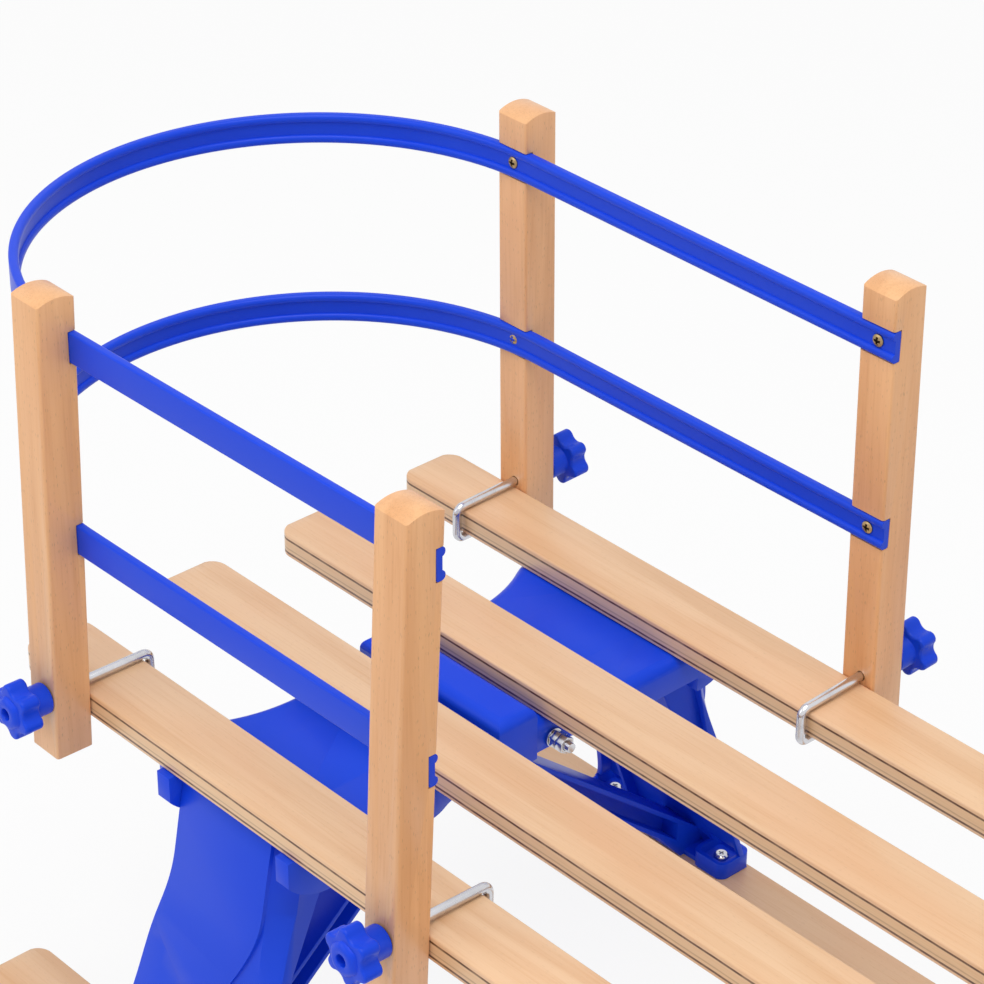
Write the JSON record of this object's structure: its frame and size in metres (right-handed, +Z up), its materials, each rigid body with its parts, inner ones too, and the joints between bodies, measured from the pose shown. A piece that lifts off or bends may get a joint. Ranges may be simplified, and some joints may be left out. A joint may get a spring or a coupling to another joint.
{
  "type": "sled with backrest",
  "caption": "Low plywood sled with slatted seat, curled runners, blue moulded legs and crossbeams, and a clamp-on backrest of beech posts with U-shaped bands.",
  "frame": {"origin": "on the ground plane under the centre of the bounding box", "axes": "+X forward to the runner curls, +Y to the rider's left, +Z up"},
  "size_m": [1.1825, 0.3616, 0.4089],
  "materials": {
    "plywood": "clear satin varnish, pale beech veneer with two dark glue lines at the edges",
    "beech": "clear satin varnish over steamed beech",
    "blue_plastic": "fine satin moulded",
    "steel_strip": "plain rolled",
    "zinc": "bright zinc plate",
    "screw_brass": "yellow passivated"
  },
  "bodies": {
    "root": {"backrest_band_lower": "blue_plastic", "backrest_band_upper": "blue_plastic", "backrest_post_front_left": "beech", "backrest_post_front_right": "beech", "backrest_post_rear_left": "beech", "backrest_post_rear_right": "beech", "band_screws": "screw_brass", "centre_bolts_front": "zinc", "centre_bolts_rear": "zinc", "clamp_hook_front_left": "zinc", "clamp_hook_front_right": "zinc", "clamp_hook_rear_left": "zinc", "clamp_hook_rear_right": "zinc", "crossbeam_front": "blue_plastic", "crossbeam_rear": "blue_plastic", "foot_screws_front": "zinc", "foot_screws_rear": "zinc", "front_bar": "blue_plastic", "leg_front_left": "blue_plastic", "leg_front_right": "blue_plastic", "leg_rear_left": "blue_plastic", "leg_rear_right": "blue_plastic", "runner_left": "plywood", "runner_right": "plywood", "running_strip_left": "steel_strip", "running_strip_right": "steel_strip", "seat_slat_inner_left": "plywood", "seat_slat_inner_right": "plywood", "seat_slat_outer_left": "plywood", "seat_slat_outer_right": "plywood", "slat_screws": "zinc", "star_knob_front_left": "blue_plastic", "star_knob_front_right": "blue_plastic", "star_knob_rear_left": "blue_plastic", "star_knob_rear_right": "blue_plastic", "tip_screws": "zinc"}
  },
  "joints": []
}
